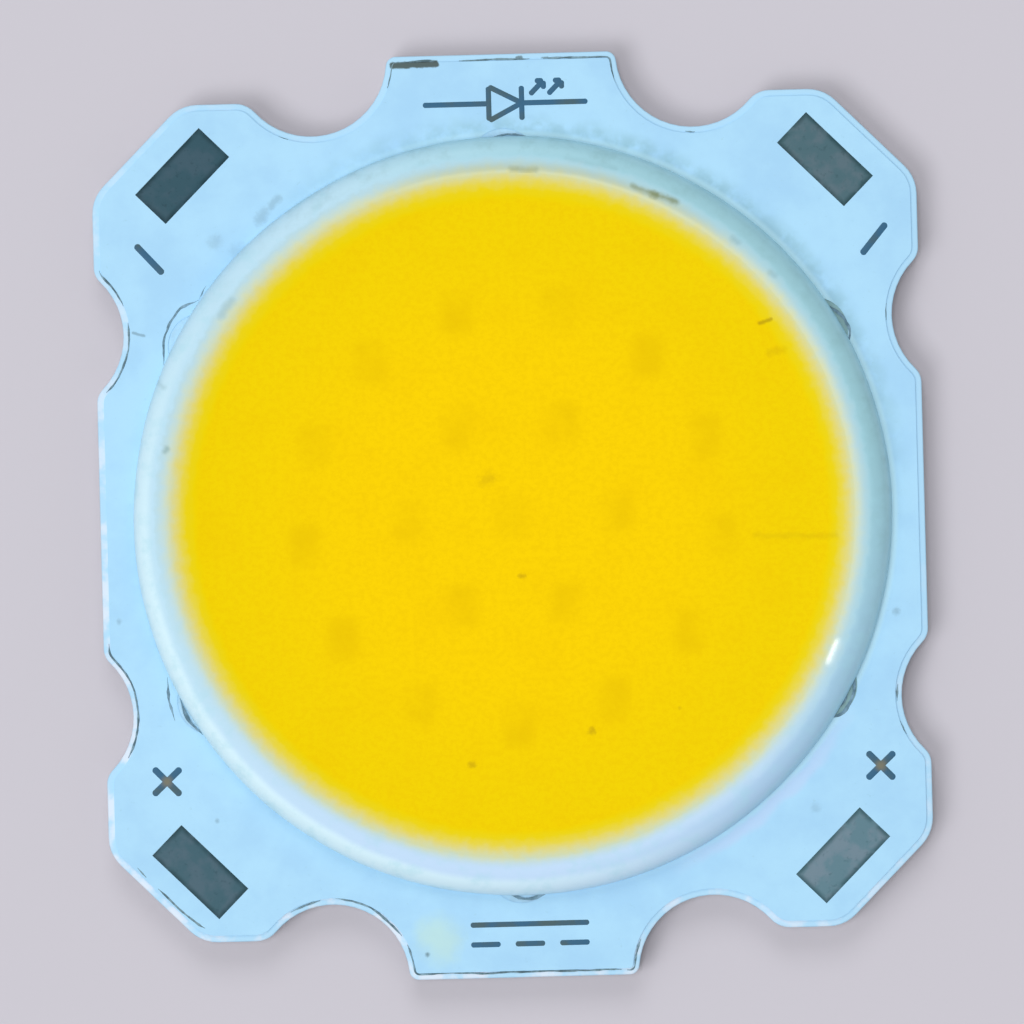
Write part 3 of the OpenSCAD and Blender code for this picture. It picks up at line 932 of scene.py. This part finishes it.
def makeFill():
    bm = bmesh.new()
    rings = fillLook["rings"]
    radii = [board["fillEdge"] * k / rings for k in range(rings + 1)]
    outline = [(r, fillHeight(r)) for r in radii]
    outline += [(board["damInside"], board["maskTop"]), (board["damInside"], board["plateTop"]),
                (0, board["plateTop"])]
    line = [bm.verts.new((r * mm, 0, z * mm)) for r, z in outline]
    edges = [bm.edges.new(pair) for pair in zip(line, line[1:])]
    bmesh.ops.spin(bm, geom=line + edges, cent=(0, 0, 0), axis=(0, 0, 1), angle=math.tau,
                   steps=fillLook["steps"], use_merge=True)
    bmesh.ops.remove_doubles(bm, verts=bm.verts, dist=2 * weld * mm)
    shade = bm.verts.layers.float.new("chipShade")
    sides = zip(*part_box(chips[0]))
    half = [(high - low) / 2 / mm - fillLook["chipInset"] for low, high in sides]
    chipMiddles = [middle(chip) for chip in chips]
    start = board["fillEdge"] - fillLook["meniscus"]
    for v in bm.verts:
        spot = v.co / mm
        sideways, sink = unevenness(spot)
        if spot.z > board["maskTop"] and spot.xy.length > start:  # the fill's edge follows the dam
            share = ((spot.xy.length - start) / fillLook["meniscus"]) ** 2
            v.co += (sideways + Vector((0, 0, sink))) * share * mm
        for chipMiddle in chipMiddles:
            away = spot - chipMiddle
            outside = Vector((max(abs(away.x) - half[0], 0), max(abs(away.y) - half[1], 0)))
            v[shade] = max(v[shade], 1 - min(outside.length / fillLook["chipReach"], 1))
    finishPiece("phosphorFill", bm, fillMaterial(), ["phosphor_fill"], sharpAngle=50)


makeFill()
print("fill done")

# marks

inkLook = {
    "ink": colour(66, 92, 98),
    "blue": colour(42, 96, 130),
    "brown": colour(116, 116, 100),
    "stroke": 0.21,
    "fine": 0.17,
    "minus": [((-11.22, 8.5), (-10.4, 7.6)), ((11.55, 8.57), (10.78, 7.64))],
    "plus": [(-10.68, -7.79), (10.96, -7.86)],
    "plusArm": 1.17,
    "plusTurns": (43, 134),
    "heart": (0.3, 0.12),  # width and softness of the brown spot where the arms cross
    # signs: the middle, then the ends of each line from there
    "diode": (0.1, 12.6),
    "diodeLines": [
        ((-2.5, -0.1), (-0.5, -0.1)), ((0.5, -0.1), (2.5, -0.1)), ((0.5, -0.62), (0.5, 0.42)),
        ((-0.5, -0.62), (-0.5, 0.42)), ((-0.5, 0.42), (0.5, -0.1)), ((-0.5, -0.62), (0.5, -0.1))],
    "arrowFeet": [(0.75, 0.14), (1.3, 0.14)],
    "arrow": 0.42,
    "barb": 0.26,
    "current": (0.2, -12.68),
    "currentLines": [
        ((-1.8, 0.3), (1.8, 0.3)), ((-1.8, -0.3), (-0.9, -0.3)), ((-0.45, -0.3), (0.45, -0.3)),
        ((0.9, -0.3), (1.8, -0.3))],
}


def inkMaterial():
    material, tree, shader = newMaterial("mark ink", 0.5, 0.0, 0.3)
    place = boardPlace(tree)
    cloud = ramp(tree, grainOf(tree, place, 1.2, 3.0), 0.3, 0.6)
    ink = blend(tree, cloud, inkLook["ink"], inkLook["blue"])
    for centre in inkLook["plus"]:
        heart = markAt(tree, place, centre, centre, *inkLook["heart"])
        ink = blend(tree, heart, ink, inkLook["brown"])
    feed(tree, shader.inputs["Base Color"], ink)
    return material


def spotAt(place):
    return Vector((*place, 0))


def makeMark(name, lines, width, ink, lifts=None):
    bm = bmesh.new()
    for line, lift in zip(lines, lifts or [0] * len(lines)):
        inkStroke(bm, line, width, board["maskTop"] + lift)
    finishPiece(name, bm, ink)


def makeSigns(ink):
    for name, ends in zip(("minusMarkLeft", "minusMarkRight"), inkLook["minus"]):
        makeMark(name, [[spotAt(end) for end in ends]], inkLook["stroke"], ink)
    for name, place in zip(("plusMarkLeft", "plusMarkRight"), inkLook["plus"]):
        arms = [around(turn, inkLook["plusArm"] / 2) for turn in inkLook["plusTurns"]]
        lines = [[spotAt(place) - arm, spotAt(place) + arm] for arm in arms]
        makeMark(name, lines, inkLook["stroke"], ink, lifts=(0, 0.001))  # one arm over the other


def makeDiodeMark(ink):  # the circuit symbol of a light-emitting diode
    centre = spotAt(inkLook["diode"])
    lines = [[centre + spotAt(end) for end in ends] for ends in inkLook["diodeLines"]]
    for foot in inkLook["arrowFeet"]:
        foot = centre + spotAt(foot)
        tip = foot + Vector((inkLook["arrow"], inkLook["arrow"], 0))
        barbs = Vector((-inkLook["barb"], 0, 0)), Vector((0, -inkLook["barb"], 0))
        lines += [[foot, tip]] + [[tip, tip + barb] for barb in barbs]
    makeMark("diodeMark", lines, inkLook["fine"], ink)


def makeCurrentMark(ink):  # the symbol of direct current: a bar over three dashes
    centre = spotAt(inkLook["current"])
    lines = [[centre + spotAt(end) for end in ends] for ends in inkLook["currentLines"]]
    makeMark("currentMark", lines, inkLook["fine"], ink)


# dark lines round the round windows, where the dam has left them showing: painted shade along the
# windows' edges, and crazed paint

shadeAndCrackLook = {
    # the tones of the painted shade and cracks along the windows' edges
    "ink": colour(92, 124, 140),
    "pale": colour(138, 174, 196),
    # angle and distance from the axis, then the widest part of the line
    "lines": [
        ([(32.8, 11.42), (30.0, 11.68), (27.3, 11.7), (25.6, 11.4)], 0.1),
        ([(-26.5, 11.4), (-28.9, 11.68), (-32.3, 11.7), (-34.3, 11.38)], 0.11),
        ([(-28.6, 11.42), (-30.6, 11.54), (-32.6, 11.42)], 0.08),
        ([(267.2, 11.42), (270.8, 11.68), (274.6, 11.42)], 0.12),
        ([(86.4, 11.52), (89.0, 11.57), (91.3, 11.52)], 0.08),
        ([(155.4, 11.48), (152.0, 11.84), (149.5, 11.92), (146.6, 11.9), (144.0, 11.54)], 0.09),
        ([(144.0, 11.54), (141.6, 11.62)], 0.07),
        ([(203.6, 11.55), (206.8, 11.84), (209.8, 11.97)], 0.09),
        ([(207.2, 11.5), (210.6, 11.64), (213.8, 11.5)], 0.12)],
    "perBend": 8,
    "rounding": 6,  # times that the corners between the bends are evened out
    "waver": 0.02,
}


def makeWindowShadeAndCracks():
    bm = bmesh.new()
    for bends, width in shadeAndCrackLook["lines"]:
        path = []
        for bend, following in zip(bends, bends[1:]):
            for k in range(shadeAndCrackLook["perBend"]):
                share = k / shadeAndCrackLook["perBend"]
                path.append(around(*[a + (b - a) * share for a, b in zip(bend, following)]))
        path.append(around(*bends[-1]))
        for _ in range(shadeAndCrackLook["rounding"]):
            inside = [(a + b + c) / 3 for a, b, c in zip(path, path[1:], path[2:])]
            path = [path[0]] + inside + [path[-1]]
        sways = [(noise.noise(p * 5), noise.noise(p * 5 + Vector((9, 9, 9)))) for p in path]
        path = [p + shadeAndCrackLook["waver"] * spotAt(sway) for p, sway in zip(path, sways)]
        inkStroke(bm, path, width, board["maskTop"], 0.008, taper=5)
    material = shadeAndTearMaterial("crazed and shaded mask", shadeAndCrackLook["ink"], shadeAndCrackLook["pale"])
    finishPiece("windowShadeAndCracks", bm, material)


ink = inkMaterial()
makeSigns(ink)
makeWindowShadeAndCracks()
makeDiodeMark(ink)
makeCurrentMark(ink)
print("marks done")

# hidden pieces


hiddenLook = {
    # name, light and dark colour, scale of the clouds, roughness and metal
    "chip_adhesive": ("chip adhesive", colour(226, 226, 220), colour(206, 206, 200), 4.0, 0.4, 0.0),
    "led_chip": ("chip sapphire", colour(96, 120, 168), colour(74, 96, 150), 3.0, 0.25, 0.0),
    "bond_wire": ("gold wire", colour(226, 178, 84), colour(206, 156, 64), 6.0, 0.3, 1.0),
}


def plainMaterial(name, light, dark, scale, roughness, metallic):
    material, tree, shader = newMaterial(name, roughness, metallic)
    cloud = grainOf(tree, boardPlace(tree), scale, 3.0)
    feed(tree, shader.inputs["Base Color"], blend(tree, cloud, light, dark))
    return material


def dressHidden():
    for start, look in hiddenLook.items():
        material = plainMaterial(*look)
        for node in (n for n in cad if n.startswith(start)):
            cad[node].data.materials[0] = material


dressHidden()
print("hidden pieces done")

# camera, light and floor

stageLook = {
    "floor": colour(206, 203, 212),
    "floorReach": 1500,
    "cameraHeight": 330,
    "frameWidth": 31.04,
    "sensor": 36,
    "roll": -1.5,
    "aim": Vector((-0.02, 0.11, 0)),
    "world": 0.43,
    "floorLevel": -0.02,  # just under the plate, so that the two don't share a surface
    # azimuth and elevation in degrees, distance and size in mm, power in watts
    "lamps": {
        "key": (214, 60, 1200, 600, 5.2),
        "fill": (95, 50, 1200, 600, 2.9),
        "spark": (155.5, 86, 400, 55, 0.2),
    },
}


def makeFloor():
    bm = bmesh.new()
    bmesh.ops.create_grid(bm, x_segments=1, y_segments=1, size=stageLook["floorReach"] * mm)
    bmesh.ops.translate(bm, verts=bm.verts, vec=(0, 0, stageLook["floorLevel"] * mm))
    mesh = bpy.data.meshes.new("floor")
    bm.to_mesh(mesh)
    bm.free()
    material, tree, shader = newMaterial("pale floor", 0.8, 0.0, 0.2)
    shader.inputs["Base Color"].default_value = stageLook["floor"]
    mesh.materials.append(material)
    floor = bpy.data.objects.new("floor", mesh)
    bpy.context.scene.collection.objects.link(floor)


def addLight(name, azimuth, elevation, distance, size, power):
    light = bpy.data.lights.new(name, "AREA")
    light.size = size * mm
    light.energy = power
    lamp = bpy.data.objects.new(name, light)
    tilt = math.radians(elevation)
    spot = around(azimuth, distance * math.cos(tilt), distance * math.sin(tilt))
    lamp.location = spot * mm
    lamp.rotation_euler = spot.to_track_quat("Z", "Y").to_euler()
    bpy.context.scene.collection.objects.link(lamp)


def makeStage():
    scene = bpy.context.scene
    scene.view_settings.view_transform = "Standard"
    world = bpy.data.worlds.new("studio")
    scene.world = world
    world.use_nodes = True
    background = world.node_tree.nodes["Background"]
    background.inputs["Color"].default_value = (1, 1, 1, 1)
    background.inputs["Strength"].default_value = stageLook["world"]
    makeFloor()
    for name, lamp in stageLook["lamps"].items():
        addLight(name, *lamp)
    view = bpy.data.cameras.new("camera")
    view.sensor_width = stageLook["sensor"]
    height = stageLook["cameraHeight"] - board["maskTop"]
    view.lens = stageLook["sensor"] * height / stageLook["frameWidth"]
    view.clip_start = 0.01
    camera = bpy.data.objects.new("camera", view)
    roll = math.radians(stageLook["roll"])
    aim = Matrix.Rotation(roll, 3, "Z") @ stageLook["aim"]
    camera.location = (aim + Vector((0, 0, stageLook["cameraHeight"]))) * mm
    camera.rotation_euler = (0, 0, roll)
    scene.collection.objects.link(camera)
    scene.camera = camera


makeStage()
print("stage done")
